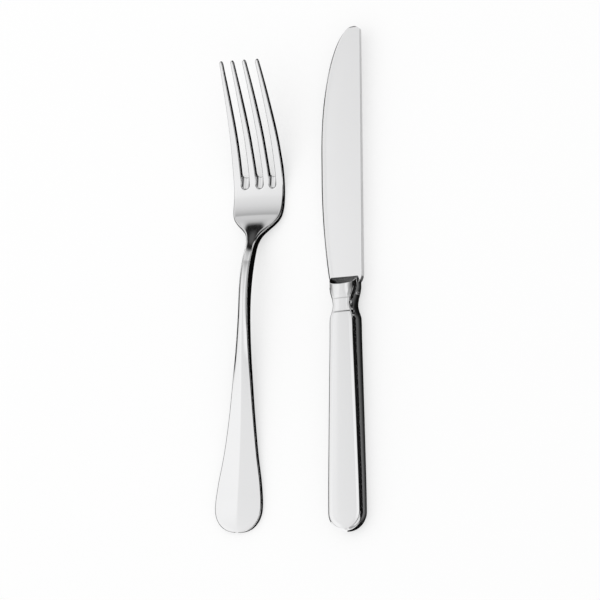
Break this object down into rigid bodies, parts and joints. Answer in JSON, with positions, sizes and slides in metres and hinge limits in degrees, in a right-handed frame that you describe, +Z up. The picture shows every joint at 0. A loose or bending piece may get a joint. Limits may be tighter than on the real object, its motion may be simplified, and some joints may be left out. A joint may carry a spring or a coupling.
{
  "type": "table fork and table knife set",
  "caption": "Table fork with rounded tines and drop-shaped handle beside a forged table knife with waisted, faceted handle, both polished steel.",
  "frame": {"origin": "middle of the common box of both pieces, on the top they lie on", "axes": "+Y towards the tips, +X from the fork to the knife, +Z up out of the show faces"},
  "size_m": [0.078, 0.2294, 0.027],
  "materials": {
    "fork_steel": "mirror polished stainless steel",
    "knife_steel": "polished stainless steel, blade a little softer"
  },
  "bodies": {
    "root": {"table_fork": "fork_steel", "table_knife": "knife_steel"}
  },
  "joints": []
}
